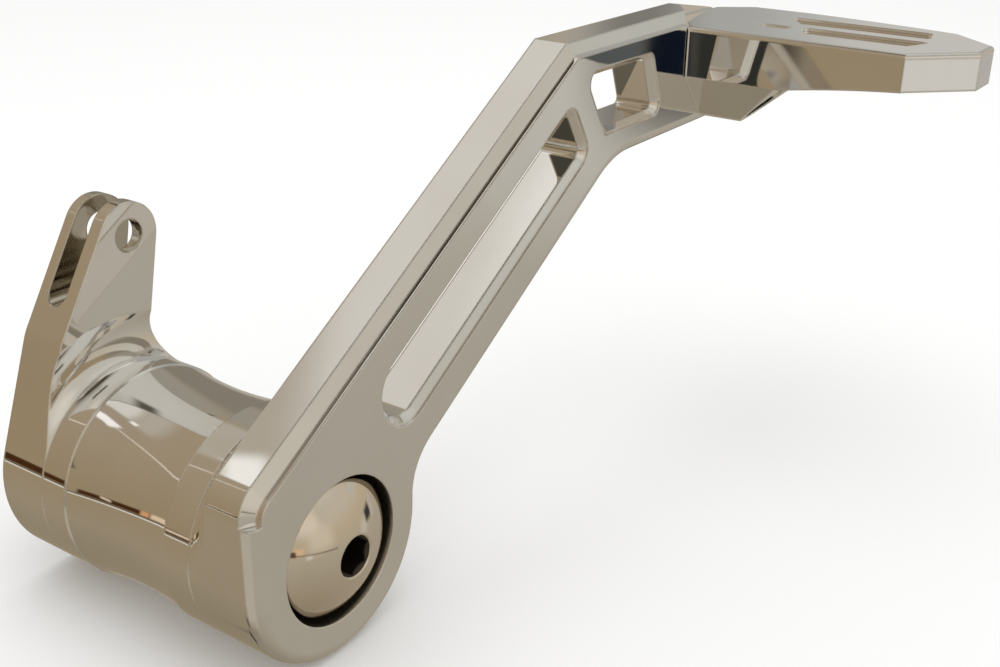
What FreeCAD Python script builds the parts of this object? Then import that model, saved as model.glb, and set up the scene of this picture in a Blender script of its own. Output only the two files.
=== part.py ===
import FreeCAD, Part
import math
import os
import Sketcher
from FreeCAD import Placement, Rotation, Vector

os.makedirs("parts", exist_ok=True)

# Frame of the pedal, in millimetres
# X points forward along the arm, Y inboard along the pivot axis, Z up from the foot pad.
# The origin lies on the pivot axis, on the seat that the pivot bolt pulls against the frame.
# Stations along the pivot are distances outboard of that seat, so a station is minus Y.

SIZES = {
    # hub, barrel and lever along the pivot
    "seat_gap": 0.5,
    "lever_thickness": 14.5,
    "barrel_length": 48.5,
    "hub_thickness": 19.5,
    "hub_radius": 26.7,
    "collar_length": 8.0,
    "collar_step": 0.3,
    "waist_drop": 1.5,
    "spigot_radius": 16.8,
    "spigot_length": 5.0,
    "joint_clearance": 0.05,
    "floor_clearance": 0.3,
    # pivot, its bolt, sleeve, washers, bushings and seals
    "bolt_radius": 6.0,
    "thread_length": 12.0,
    "relief_radius": 5.3,
    "relief_start": 0.1,
    "relief_end": 1.7,
    "sleeve_radius": 11.0,
    "sleeve_clearance": 0.15,
    "bushing_radius": 13.5,
    "bushing_length": 22.0,
    "running_clearance": 0.04,
    "flange_radius": 15.0,
    "flange_thickness": 1.5,
    "thrust_clearance": 0.3,
    "inboard_washer_thickness": 2.2,
    "outboard_washer_thickness": 1.8,
    "washer_radius": 12.4,
    "seal_gap": 0.4,
    "seal_thickness": 2.0,
    "ring_radius": 1.1,
    "dome_bore_radius": 17.5,
    "dome_bore_depth": 10.0,
    "dome_radius": 16.0,
    "dome_rim_depth": 1.8,
    "dome_height": 6.3,
    "hex_across_flats": 8.0,
    "hex_depth": 7.0,
    "hex_lead_in": 0.5,
    "hex_turn": 11.0,
    # arm
    "arm_thickness": 12.75,
    "arm_rise_angle": 32.0,
    "arm_top_offset": 33.5,
    "arm_low_offset": 6.5,
    "shelf_rise": 3.8,
    "shelf_depth": 33.3,
    "heel_radius": 9.0,
    "throat_radius": 13.8,
    "elbow_radius": 30.0,
    "boss_blend_radius": 6.0,
    "edge_round": 3.3,
    "rail_width": 3.3,
    "rail_step": 1.55,
    "rail_depth": 3.3,
    "rail_start_height": 21.5,
    "shoulder_reach": 150.0,
    "shoulder_chamfer": 0.8,
    "tongue_run": 37.7,
    "tongue_slope_run": 12.0,
    "tongue_nose_drop": 4.1,
    "tongue_nose_radius": 3.0,
    "tongue_toe_radius": 12.0,
    # windows through the arm
    "slot_window_start": 27.2,
    "slot_window_end": 120.5,
    "slot_window_low": 4.4,
    "slot_window_high": 22.5,
    "slot_window_heel_radius": 9.0,
    "slot_window_toe_radius": 8.5,
    "slot_window_end_radius": 4.6,
    "rib_width": 7.4,
    "quad_window_top_drop": 7.7,
    "quad_window_low_drop": 25.8,
    "quad_window_setback": 12.5,
    "quad_window_slope": 68.0,
    "quad_window_radius": 3.4,
    "window_step": 0.7,
    "window_bevel": 1.5,
    "window_ledge": 0.3,
    # foot pad and its lug
    "notch_depth": 10.2,
    "notch_run": 14.0,
    "pad_clearance": 0.15,
    "pad_top_height": 92.7,
    "pad_thickness": 13.9,
    "pad_tip_thickness": 9.9,
    "pad_width": 45.6,
    "pad_length": 76.4,
    "pad_corner_run": 15.0,
    "pad_toe_run": 18.5,
    "pad_toe_length": 13.0,
    "pad_front_taper": 6.1,
    "pad_front_bow": 0.76,
    "pad_front_straight": 18.0,
    "pad_nose_cut": 7.8,
    "pad_top_round": 1.2,
    "pad_low_chamfer": 0.8,
    "scallop_start": 28.5,
    "scallop_end": 62.0,
    "lug_run": 15.0,
    "lug_axis_drop": 7.0,
    "lug_radius": 6.8,
    "lug_front_run": 32.0,
    "lug_tip_low": 12.0,
    "lug_tip_high": 27.0,
    # grooves in the pad's top
    "groove_depth": 0.8,
    "groove_corner": 1.4,
    "fore_groove_front": 34.6,
    "fore_groove_rear": 25.2,
    "fore_groove_front_start": 16.0,
    "fore_groove_rear_start": 23.0,
    "fore_groove_front_end": 57.6,
    "fore_groove_rear_end": 59.8,
    "aft_groove_front": 20.4,
    "aft_groove_rear": 11.2,
    "aft_groove_front_start": 25.8,
    "aft_groove_rear_start": 29.3,
    "aft_groove_front_end": 61.6,
    "aft_groove_rear_end": 57.6,
    "short_groove_front": 19.4,
    "short_groove_rear": 15.2,
    "short_groove_front_start": 14.0,
    "short_groove_rear_start": 14.6,
    "short_groove_front_end": 22.6,
    "short_groove_rear_end": 22.6,
    # screws and dowels
    "screw_circle_radius": 20.9,
    "screw_radius": 2.5,
    "screw_head_radius": 4.25,
    "screw_head_height": 5.0,
    "screw_head_sink": 5.5,
    "screw_engagement": 12.0,
    "screw_hex": 4.0,
    "screw_hex_depth": 2.5,
    "dowel_circle_radius": 21.5,
    "dowel_radius": 2.0,
    "dowel_length": 10.0,
    "pad_screw_radius": 3.0,
    "pad_screw_head_radius": 5.0,
    "pad_screw_head_height": 5.0,
    "pad_screw_counterbore_radius": 5.3,
    "pad_screw_seat": 5.0,
    "pad_screw_engagement": 10.5,
    "pad_screw_hex": 4.0,
    "pad_screw_hex_depth": 2.5,
    "lock_washer_radius": 4.9,
    "lock_washer_thickness": 1.4,
    "pad_dowel_spacing": 10.0,
    "pad_dowel_drop": 3.4,
    "pad_dowel_length": 8.0,
    # clevis ears
    "ear_hole_radius": 4.05,
    "ear_hole_reach": 6.9,
    "ear_hole_height": 56.2,
    "ear_end_radius": 8.2,
    "ear_thickness": 3.05,
    "ear_slot_width": 6.2,
    "ear_slot_floor": 42.6,
    "ear_face_depth": 1.5,
    "ear_scoop_radius": 10.0,
    "ear_scoop_reach": 6.6,
    "ear_front_reach": 11.0,
    "ear_front_blend": 18.0,
    "ear_knee_height": 35.5,
    "ear_heel_reach": 15.3,
    "ear_heel_height": 35.8,
    "ear_heel_round": 14.0,
    "ear_knee_round": 14.0,
    "fine_chamfer": 0.5,
}

doc = FreeCAD.newDocument("brake_pedal")
sheet = doc.addObject("Spreadsheet::Sheet", "Sizes")
for row, (alias, value) in enumerate(SIZES.items(), start=1):
    sheet.set(f"A{row}", alias)
    sheet.set(f"B{row}", str(value))
    sheet.setAlias(f"B{row}", alias)
doc.recompute()


def mm(expression):
    """Value in millimetres of a sum of sheet aliases, such as 'hub_radius - edge_round'."""
    words = [f"Sizes.{word}" if word in SIZES else word for word in expression.split()]
    return float(sheet.evalExpression(" ".join(words)))


def bind(thing, name, expression):
    """Tie one property of an object to the sheet."""
    words = [f"Sizes.{word}" if word in SIZES else word for word in expression.split()]
    thing.setExpression(name, " ".join(words))


# Stations along the pivot
LEVER_SEAM = "seat_gap + lever_thickness"
ARM_SEAM = "seat_gap + lever_thickness + barrel_length"
FACE = "seat_gap + lever_thickness + barrel_length + hub_thickness"
INNER_FLOOR = "inboard_washer_thickness + thrust_clearance + flange_thickness"
OUTER_FLOOR = FACE + " - dome_bore_depth"
SLEEVE_END = OUTER_FLOOR + " + flange_thickness + thrust_clearance"
HEAD_SEAT = SLEEVE_END + " + outboard_washer_thickness"

# Heights above the pivot and reaches forward of it that follow from other sizes
SHELF = "pad_top_height + shelf_rise"
UNDERSIDE = "pad_top_height - pad_thickness"
TONGUE_END = "shoulder_reach + tongue_run"
PAD_FRONT = "shoulder_reach + pad_width"
LUG_REACH = "shoulder_reach + lug_run"
LUG_FRONT = "shoulder_reach + lug_front_run"
LUG_HEIGHT = UNDERSIDE + " - lug_axis_drop"
DOWEL_REACH = LUG_REACH + " + pad_dowel_spacing"
DOWEL_HEIGHT = UNDERSIDE + " - pad_dowel_drop"

# Shares of a length that shape a curve
SLOT_ROUND = 0.999
DIMPLE_SHARE = 0.95
SCALLOP_RISE = 0.6


# Helpers for bodies, sketches and features
def new_body(label):
    body = doc.addObject("PartDesign::Body", label)
    body.Label = label
    return body


def new_sketch(body, role, station="0"):
    """Sketch on one of the body's origin planes, moved along the plane's normal."""
    sketch = body.newObject("Sketcher::SketchObject", f"{body.Name}_sketch")
    plane = next(item for item in body.Origin.OriginFeatures if item.Role == role)
    sketch.AttachmentSupport = [(plane, "")]
    sketch.MapMode = "FlatFace"
    bind(sketch, ".AttachmentOffset.Base.z", station)
    return sketch


def add_circle(sketch, x, y, radius):
    index = sketch.addGeometry(Part.Circle(Vector(x, y, 0), Vector(0, 0, 1), mm(radius)), False)
    constraint = sketch.addConstraint(Sketcher.Constraint("Radius", index, mm(radius)))
    bind(sketch, f"Constraints[{constraint}]", radius)


def add_path(sketch, edges):
    for edge in edges:
        sketch.addGeometry(edge, False)


def pad(body, sketch, length, reverse=False):
    """Solid from the sketch along its normal: outboard on the XZ plane."""
    feature = body.newObject("PartDesign::Pad", f"{body.Name}_pad")
    feature.Profile = sketch
    feature.Reversed = reverse
    bind(feature, "Length", length)
    doc.recompute()
    return feature


def pocket(body, sketch, length, reverse=False):
    """Cut from the sketch against its normal, or along it when reversed."""
    before = body.Shape.Volume
    feature = body.newObject("PartDesign::Pocket", f"{body.Name}_pocket")
    feature.Profile = sketch
    feature.Reversed = reverse
    bind(feature, "Length", length)
    doc.recompute()
    if body.Shape.Volume >= before - 1e-3:
        raise RuntimeError(f"{feature.Name} cuts nothing")
    return feature


def turn(body, sketch, kind="PartDesign::Revolution"):
    """Full turn of a sketch on the XY plane about the pivot axis."""
    feature = body.newObject(kind, f"{body.Name}_turn")
    feature.Profile = sketch
    feature.ReferenceAxis = (sketch, ["V_Axis"])
    feature.Angle = 360.0
    doc.recompute()
    return feature


def dress(body, kind, edges, size):
    """Fillet or chamfer on the edges for which the test is true."""
    base = body.Tip
    names = [f"Edge{number}" for number, edge in enumerate(base.Shape.Edges, start=1) if edges(edge)]
    feature = body.newObject(kind, f"{body.Name}_dress")
    feature.Base = (base, names)
    bind(feature, "Radius" if kind.endswith("Fillet") else "Size", size)
    doc.recompute()
    return feature


def at_height(edge, axis, level, slack=1e-4):
    """True when the whole edge lies at one level of X (0), Y (1) or Z (2)."""
    box = edge.BoundBox
    low = (box.XMin, box.YMin, box.ZMin)[axis]
    high = (box.XMax, box.YMax, box.ZMax)[axis]
    return abs(low - level) < slack and abs(high - level) < slack


def segment(start, end):
    return Part.LineSegment(Vector(*start, 0), Vector(*end, 0))


def arc(start, middle, end):
    return Part.Arc(Vector(*start, 0), Vector(*middle, 0), Vector(*end, 0))


def arc_about(centre, start, end, outward):
    """Arc from start to end whose middle lies from the centre towards outward."""
    radius = math.dist(centre, start)
    reach = math.hypot(*outward)
    middle = (centre[0] + radius * outward[0] / reach, centre[1] + radius * outward[1] / reach)
    return arc(start, middle, end)


def touch(point, centre, radius, side):
    """Point on a circle that a line from an outer point touches, on one side or the other."""
    angle = math.atan2(point[1] - centre[1], point[0] - centre[0])
    angle += side * math.acos(radius / math.dist(point, centre))
    return (centre[0] + radius * math.cos(angle), centre[1] + radius * math.sin(angle))


def rounded(corners):
    """Closed outline from (x, y, radius) corners, with an arc wherever the radius isn't zero."""
    spans = []
    for index, (x, y, radius) in enumerate(corners):
        before = corners[index - 1]
        after = corners[(index + 1) % len(corners)]
        toward_before = Vector(before[0] - x, before[1] - y, 0).normalize()
        toward_after = Vector(after[0] - x, after[1] - y, 0).normalize()
        corner = Vector(x, y, 0)
        if radius == 0:
            spans.append((corner, None, corner))
            continue
        half = toward_before.getAngle(toward_after) / 2
        reach = radius / math.tan(half)
        bisector = (toward_before + toward_after).normalize()
        middle = corner + bisector * (radius / math.sin(half) - radius)
        spans.append((corner + toward_before * reach, middle, corner + toward_after * reach))
    edges = []
    for index, (start, middle, end) in enumerate(spans):
        if middle is not None:
            edges.append(Part.Arc(start, middle, end))
        following = spans[(index + 1) % len(spans)][0]
        if end.distanceToPoint(following) > 1e-6:
            edges.append(Part.LineSegment(end, following))
    return edges


# Arm outline, seen from outboard, with X to the right and Z up
RISE = math.radians(mm("arm_rise_angle"))


def along(run, offset):
    """Point at a run along the rising arm's centre line and an offset above it."""
    x = run * math.cos(RISE) - offset * math.sin(RISE)
    z = run * math.sin(RISE) + offset * math.cos(RISE)
    return (x, z)


def crossing_height(offset, height):
    """Point where the line at an offset above the rising centre line reaches a height."""
    return ((height * math.cos(RISE) - offset) / math.sin(RISE), height)


def arm_outline():
    """Hub, heel, rising top, shelf, tongue and the inner edge back to the hub."""
    hub = mm("hub_radius")
    throat = mm("throat_radius")
    low = -mm("arm_low_offset")
    top = mm("arm_top_offset")
    shelf = mm(SHELF)
    heel = (-hub, (top - hub * math.sin(RISE)) / math.cos(RISE), mm("heel_radius"))
    bend = (*crossing_height(top, shelf), 0)
    slope = (mm("shoulder_reach + tongue_slope_run"), shelf, 0)
    nose = (mm(TONGUE_END), shelf - mm("tongue_nose_drop"), mm("tongue_nose_radius"))
    underside = shelf - mm("shelf_depth")
    toe = (mm(TONGUE_END), underside, mm("tongue_toe_radius"))
    elbow = (*crossing_height(low, underside), mm("elbow_radius"))
    run = math.sqrt((hub + throat) ** 2 - (low - throat) ** 2)
    throat_centre = along(run, low - throat)
    throat_start = along(run, low)
    share = hub / (hub + throat)
    throat_end = (throat_centre[0] * share, throat_centre[1] * share)
    corners = [(-hub, 0, 0), heel, bend, slope, nose, toe, elbow, (*throat_start, 0)]
    edges = rounded(corners)[:-1]
    toward_hub = (throat_start[0] + throat_end[0] - 2 * throat_centre[0],
                  throat_start[1] + throat_end[1] - 2 * throat_centre[1])
    edges.append(arc_about(throat_centre, throat_start, throat_end, toward_hub))
    edges.append(arc_about((0, 0), throat_end, (-hub, 0), (throat_end[0] - hub, -hub)))
    return edges


def slot_window(inset):
    """Long window between the hub and the rib, at an inset from its rim."""
    start, end = mm("slot_window_start") + inset, mm("slot_window_end") - inset
    low, high = mm("slot_window_low") + inset, mm("slot_window_high") - inset
    return rounded([
        (*along(start, low), mm("slot_window_toe_radius") - inset),
        (*along(start, high), mm("slot_window_heel_radius") - inset),
        (*along(end, high), mm("slot_window_end_radius") - inset),
        (*along(end, low), mm("slot_window_end_radius") - inset),
    ])


def quad_window(inset):
    """Small window in the bend, whose rear edge lies along the rib."""
    top = mm(SHELF + " - quad_window_top_drop") - inset
    low = mm(SHELF + " - quad_window_low_drop") + inset
    rib = mm("slot_window_end + rib_width") + inset
    rear_top = (rib - top * math.sin(RISE)) / math.cos(RISE)
    rear_low = (rib - low * math.sin(RISE)) / math.cos(RISE)
    slope = math.radians(mm("quad_window_slope"))
    front = mm("shoulder_reach - quad_window_setback")
    front_low = front - inset / math.sin(slope) - inset / math.tan(slope)
    front_top = front_low - (top - low) / math.tan(slope)
    radius = mm("quad_window_radius") - inset
    return rounded([(rear_low, low, radius), (rear_top, top, radius),
                    (front_top, top, radius), (front_low, low, radius)])


# Rail: the stepped bevel along the arm's heel and top edge
def rail_cutter():
    """Region outside the stepped bevel, as straight runs and one turned corner."""
    width, step, depth = mm("rail_width"), mm("rail_step"), mm("rail_depth")
    spare = mm("rail_width")
    face = mm(FACE)
    fall = (depth - step) / width
    section = [(width, -spare), (width, step), (-spare, depth + fall * spare), (-spare, -spare)]

    def profile(origin, inward):
        """Section at a point of the outline: inward from the edge and inboard from the face."""
        points = [Vector(origin[0] + inward[0] * across, deep - face, origin[1] + inward[1] * across)
                  for across, deep in section]
        return Part.Face(Part.makePolygon(points + points[:1]))

    hub, heel = mm("hub_radius"), mm("heel_radius")
    top = mm("arm_top_offset")
    corner = (-hub, (top - hub * math.sin(RISE)) / math.cos(RISE))
    half = (math.pi / 2 + RISE) / 2
    reach = heel / math.tan(half)
    centre = (-hub + heel, corner[1] - reach)
    start = (-hub, mm("rail_start_height"))
    upright = profile(start, (1, 0)).extrude(Vector(0, 0, centre[1] - start[1]))
    bend_axis = Vector(centre[0], 0, centre[1])
    turn_degrees = 90 - math.degrees(RISE)
    heel_turn = profile((-hub, centre[1]), (1, 0)).revolve(bend_axis, Vector(0, 1, 0), turn_degrees)
    inward = (math.sin(RISE), -math.cos(RISE))
    rise_start = (corner[0] + reach * math.cos(RISE), corner[1] + reach * math.sin(RISE))
    bend = crossing_height(top, mm(SHELF))
    rise_length = math.dist(rise_start, bend) + 2 * width
    direction = Vector(math.cos(RISE), 0, math.sin(RISE))
    rise_run = profile(rise_start, inward).extrude(direction * rise_length)
    shelf_start = (bend[0] - 2 * width, bend[1])
    shelf_length = mm("shoulder_reach + notch_run") - shelf_start[0]
    shelf_run = profile(shelf_start, (0, -1)).extrude(Vector(shelf_length, 0, 0))
    end_radius = width / 2
    end_centre = Vector(-hub + end_radius, -face + step, start[1])
    run_out = Part.makeCylinder(end_radius, 2 * spare, end_centre, Vector(0, -1, 0))
    return upright.fuse([heel_turn, rise_run, shelf_run, run_out]).removeSplitter()


def edges_on_face(level):
    return lambda edge: at_height(edge, 1, level)


def make_brake_arm():
    body = new_body("arm_blank")
    sketch = new_sketch(body, "XZ_Plane", ARM_SEAM)
    add_path(sketch, arm_outline())
    pad(body, sketch, "hub_thickness")
    hub, blend, reach = mm("hub_radius"), mm("boss_blend_radius"), 2 * mm(PAD_FRONT)
    back = -mm(FACE + " - arm_thickness")
    seam = -mm(ARM_SEAM)
    over = seam + blend
    sketch = new_sketch(body, "XY_Plane")
    bottom = (hub + blend, back)
    side = (hub, back + blend)
    centre = (hub + blend, back + blend)
    add_path(sketch, [
        arc_about(centre, side, bottom, (-1, -1)),
        segment(bottom, (reach, back)),
        segment((reach, back), (reach, over)),
        segment((reach, over), (hub, over)),
        segment((hub, over), side),
    ])
    turn(body, sketch, "PartDesign::Groove")
    dress(body, "PartDesign::Fillet", edges_on_face(-mm(FACE)), "edge_round")
    for window in (slot_window, quad_window):
        cut_window(body, window)
    cut_hub_bores(body)
    cut_pad_seat(body)
    doc.recompute()
    cutter = doc.addObject("Part::Feature", "rail_cutter")
    cutter.Shape = rail_cutter()
    arm = doc.addObject("Part::Cut", "brake_arm")
    arm.Label = "brake_arm"
    arm.Base = body
    arm.Tool = cutter
    doc.recompute()
    return arm


def cut_window(body, window):
    """Window through the arm, with a small step and a bevel round its outboard rim."""
    sketch = new_sketch(body, "XZ_Plane", FACE)
    add_path(sketch, window(0))
    pocket(body, sketch, "window_step")
    inset = mm("window_bevel + window_ledge")
    wall = window(inset)
    sketch = new_sketch(body, "XZ_Plane", FACE)
    add_path(sketch, wall)
    pocket(body, sketch, "arm_thickness")
    box = Part.Wire([edge.toShape() for edge in wall]).BoundBox
    step = -mm(FACE + " - window_step")

    def rim(edge):
        near = edge.BoundBox
        across = near.XMin > box.XMin - 1e-3 and near.XMax < box.XMax + 1e-3
        up = near.ZMin > box.YMin - 1e-3 and near.ZMax < box.YMax + 1e-3
        return at_height(edge, 1, step) and across and up

    dress(body, "PartDesign::Chamfer", rim, "window_bevel")


def cut_hub_bores(body):
    """Dome bore, bushing bore, spigot bore, screw and dowel holes in the hub."""
    sketch = new_sketch(body, "XZ_Plane", FACE)
    add_circle(sketch, 0, 0, "dome_bore_radius")
    pocket(body, sketch, "dome_bore_depth")
    sketch = new_sketch(body, "XZ_Plane", FACE)
    add_circle(sketch, 0, 0, "bushing_radius")
    pocket(body, sketch, "hub_thickness")
    sketch = new_sketch(body, "XZ_Plane", ARM_SEAM)
    add_circle(sketch, 0, 0, "spigot_radius + joint_clearance")
    pocket(body, sketch, "spigot_length + floor_clearance", reverse=True)
    sketch = new_sketch(body, "XZ_Plane", ARM_SEAM)
    for x, z in screw_places():
        add_circle(sketch, x, z, "screw_radius + joint_clearance")
    pocket(body, sketch, "screw_engagement + floor_clearance", reverse=True)
    sketch = new_sketch(body, "XZ_Plane", ARM_SEAM)
    for x, z in dowel_places():
        add_circle(sketch, x, z, "dowel_radius + joint_clearance")
    pocket(body, sketch, "dowel_length / 2", reverse=True)


def cut_pad_seat(body):
    """Mitred shoulder, seat and tapped hole where the foot pad is fastened."""
    face = mm(FACE)
    depth, run = mm("notch_depth"), mm("notch_run")
    shoulder, far = mm("shoulder_reach"), mm(TONGUE_END + " + tongue_toe_radius")
    bevel = mm("shoulder_chamfer")
    sketch = new_sketch(body, "XY_Plane", UNDERSIDE)
    over = mm("tongue_toe_radius")
    add_path(sketch, rounded([
        (shoulder - bevel, -face - over, 0),
        (shoulder - bevel, -face, 0),
        (shoulder, -face + bevel * depth / run, 0),
        (shoulder + run, -face + depth, 0),
        (far, -face + depth, 0),
        (far, -face - over, 0),
    ]))
    pocket(body, sketch, "shelf_rise + pad_thickness + edge_round", reverse=True)
    sketch = new_sketch(body, "XZ_Plane", FACE)
    add_circle(sketch, mm(LUG_REACH), mm(LUG_HEIGHT), "pad_screw_radius + joint_clearance")
    pocket(body, sketch, "pad_screw_engagement + floor_clearance")
    sketch = new_sketch(body, "XZ_Plane", FACE)
    place = (mm(DOWEL_REACH), mm(DOWEL_HEIGHT))
    add_circle(sketch, *place, "dowel_radius + joint_clearance")
    pocket(body, sketch, "pad_dowel_length / 2")


def around(radius, degrees):
    angle = math.radians(degrees)
    return (radius * math.cos(angle), radius * math.sin(angle))


def screw_places():
    return [around(mm("screw_circle_radius"), degrees) for degrees in (90, 210, 330)]


def dowel_places():
    return [around(mm("dowel_circle_radius"), degrees) for degrees in (0, 180)]


# Barrel between the arm and the clevis lever
def make_pivot_barrel():
    body = new_body("pivot_barrel")
    outer, bore = mm("hub_radius"), mm("bushing_radius")
    collar, edge = mm("collar_length"), mm("hub_radius - collar_step")
    waist = mm("hub_radius - waist_drop")
    inner, seam = -mm(LEVER_SEAM), -mm(ARM_SEAM)
    middle = (inner + seam) / 2
    spigot, nose = mm("spigot_radius"), mm("spigot_length")
    sketch = new_sketch(body, "XY_Plane")
    waist_start = (edge, inner - collar)
    waist_end = (edge, seam + collar)
    corners = [(bore, inner + nose), (spigot, inner + nose), (spigot, inner), (outer, inner),
               (outer, inner - collar), waist_start]
    mirrored = [waist_end, (outer, seam + collar), (outer, seam), (spigot, seam),
                (spigot, seam - nose), (bore, seam - nose)]
    edges = [segment(a, b) for a, b in zip(corners, corners[1:])]
    edges.append(arc(waist_start, (waist, middle), waist_end))
    edges += [segment(a, b) for a, b in zip(mirrored, mirrored[1:])]
    edges.append(segment(mirrored[-1], corners[0]))
    add_path(sketch, edges)
    turn(body, sketch)
    sketch = new_sketch(body, "XZ_Plane", ARM_SEAM)
    for x, z in screw_places():
        add_circle(sketch, x, z, "screw_radius + joint_clearance")
    pocket(body, sketch, "barrel_length")
    for station, reverse in ((ARM_SEAM, False), (LEVER_SEAM, True)):
        sketch = new_sketch(body, "XZ_Plane", station)
        for x, z in dowel_places():
            add_circle(sketch, x, z, "dowel_radius + joint_clearance")
        pocket(body, sketch, "dowel_length / 2", reverse=reverse)
    return body


# Clevis lever at the inboard end
def ear_outline():
    """Hub disc with the ear standing on it, seen from outboard."""
    hub, end = mm("hub_radius"), mm("ear_end_radius")
    hole = (mm("ear_hole_reach"), mm("ear_hole_height"))
    heel = (-mm("ear_heel_reach"), mm("ear_heel_height"))
    front, knee = mm("ear_front_reach"), mm("ear_knee_height")
    blend = mm("ear_front_blend")
    root = touch(heel, (0, 0), hub, 1)
    rear_top = touch(heel, hole, end, -1)
    front_top = touch((front, knee), hole, end, 1)
    blend_height = math.sqrt((hub + blend) ** 2 - (front + blend) ** 2)
    blend_centre = (front + blend, blend_height)
    share = hub / (hub + blend)
    foot = (blend_centre[0] * share, blend_centre[1] * share)
    return [
        arc_about((0, 0), root, foot, (0, -1)),
        arc_about(blend_centre, foot, (front, blend_height), (-1, -0.5)),
        segment((front, blend_height), (front, knee)),
        segment((front, knee), front_top),
        arc_about(hole, front_top, rear_top, (0, 1)),
        segment(rear_top, heel),
        segment(heel, root),
    ]


def upright_at(x, z):
    """Test for the edge that runs along Y through a corner of the outline."""
    return lambda edge: at_height(edge, 0, x) and at_height(edge, 2, z)


def make_clevis_lever():
    body = new_body("clevis_lever")
    sketch = new_sketch(body, "XZ_Plane", "seat_gap")
    add_path(sketch, ear_outline())
    pad(body, sketch, "lever_thickness")
    for corner, size in (((-mm("ear_heel_reach"), mm("ear_heel_height")), "ear_heel_round"),
                         ((mm("ear_front_reach"), mm("ear_knee_height")), "ear_knee_round")):
        dress(body, "PartDesign::Fillet", upright_at(*corner), size)
    hub, seam = mm("hub_radius"), -mm(LEVER_SEAM)
    reach, radius = mm("ear_scoop_reach"), mm("ear_scoop_radius")
    plane = seam + mm("ear_face_depth")
    lift = math.sqrt(radius ** 2 - reach ** 2)
    centre = (hub + reach, seam - lift)
    end = (centre[0] + math.sqrt(radius ** 2 - (plane - centre[1]) ** 2), plane)
    far, over = 2 * mm("ear_hole_height"), seam - radius
    sketch = new_sketch(body, "XY_Plane")
    add_path(sketch, [
        arc_about(centre, (hub, seam), end, (0, 1)),
        segment(end, (far, plane)),
        segment((far, plane), (far, over)),
        segment((far, over), (hub, over)),
        segment((hub, over), (hub, seam)),
    ])
    turn(body, sketch, "PartDesign::Groove")
    cut_lever_slot(body)
    sketch = new_sketch(body, "XZ_Plane", LEVER_SEAM)
    add_circle(sketch, mm("ear_hole_reach"), mm("ear_hole_height"), "ear_hole_radius")
    pocket(body, sketch, "lever_thickness")
    cut_lever_bores(body)
    return body


def cut_lever_slot(body):
    """Slot between the two ears, round at its floor, cut along X."""
    half = mm("ear_slot_width / 2")
    centre = -mm("seat_gap + ear_thickness + ear_slot_width / 2")
    floor = mm("ear_slot_floor")
    top = mm("ear_hole_height + 2 * ear_end_radius")
    sketch = new_sketch(body, "YZ_Plane", "hub_radius")
    add_path(sketch, rounded([
        (centre - half, floor, half * SLOT_ROUND),
        (centre + half, floor, half * SLOT_ROUND),
        (centre + half, top, 0),
        (centre - half, top, 0),
    ]))
    pocket(body, sketch, "2 * hub_radius")


def cut_lever_bores(body):
    """Bushing bore, washer recess, spigot bore, screw counterbores and dowel holes."""
    sketch = new_sketch(body, "XZ_Plane", LEVER_SEAM)
    add_circle(sketch, 0, 0, "bushing_radius")
    pocket(body, sketch, "lever_thickness")
    sketch = new_sketch(body, "XZ_Plane", INNER_FLOOR)
    add_circle(sketch, 0, 0, "flange_radius + joint_clearance")
    pocket(body, sketch, INNER_FLOOR)
    sketch = new_sketch(body, "XZ_Plane", LEVER_SEAM)
    add_circle(sketch, 0, 0, "spigot_radius + joint_clearance")
    pocket(body, sketch, "spigot_length + floor_clearance")
    sketch = new_sketch(body, "XZ_Plane", LEVER_SEAM)
    for x, z in screw_places():
        add_circle(sketch, x, z, "screw_radius + joint_clearance")
    pocket(body, sketch, "lever_thickness")
    sketch = new_sketch(body, "XZ_Plane", "seat_gap + screw_head_sink")
    for x, z in screw_places():
        add_circle(sketch, x, z, "screw_head_radius + joint_clearance")
    pocket(body, sketch, "screw_head_sink")
    sketch = new_sketch(body, "XZ_Plane", LEVER_SEAM)
    for x, z in dowel_places():
        add_circle(sketch, x, z, "dowel_radius + joint_clearance")
    pocket(body, sketch, "dowel_length / 2")


# Turned pieces on the pivot axis
def turned(label, corners):
    """Piece turned about the pivot axis from (radius, station) corners."""
    body = new_body(label)
    sketch = new_sketch(body, "XY_Plane")
    points = [(radius, -station) for radius, station in corners]
    add_path(sketch, [segment(a, b) for a, b in zip(points, points[1:] + points[:1])])
    turn(body, sketch)
    return body


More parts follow.
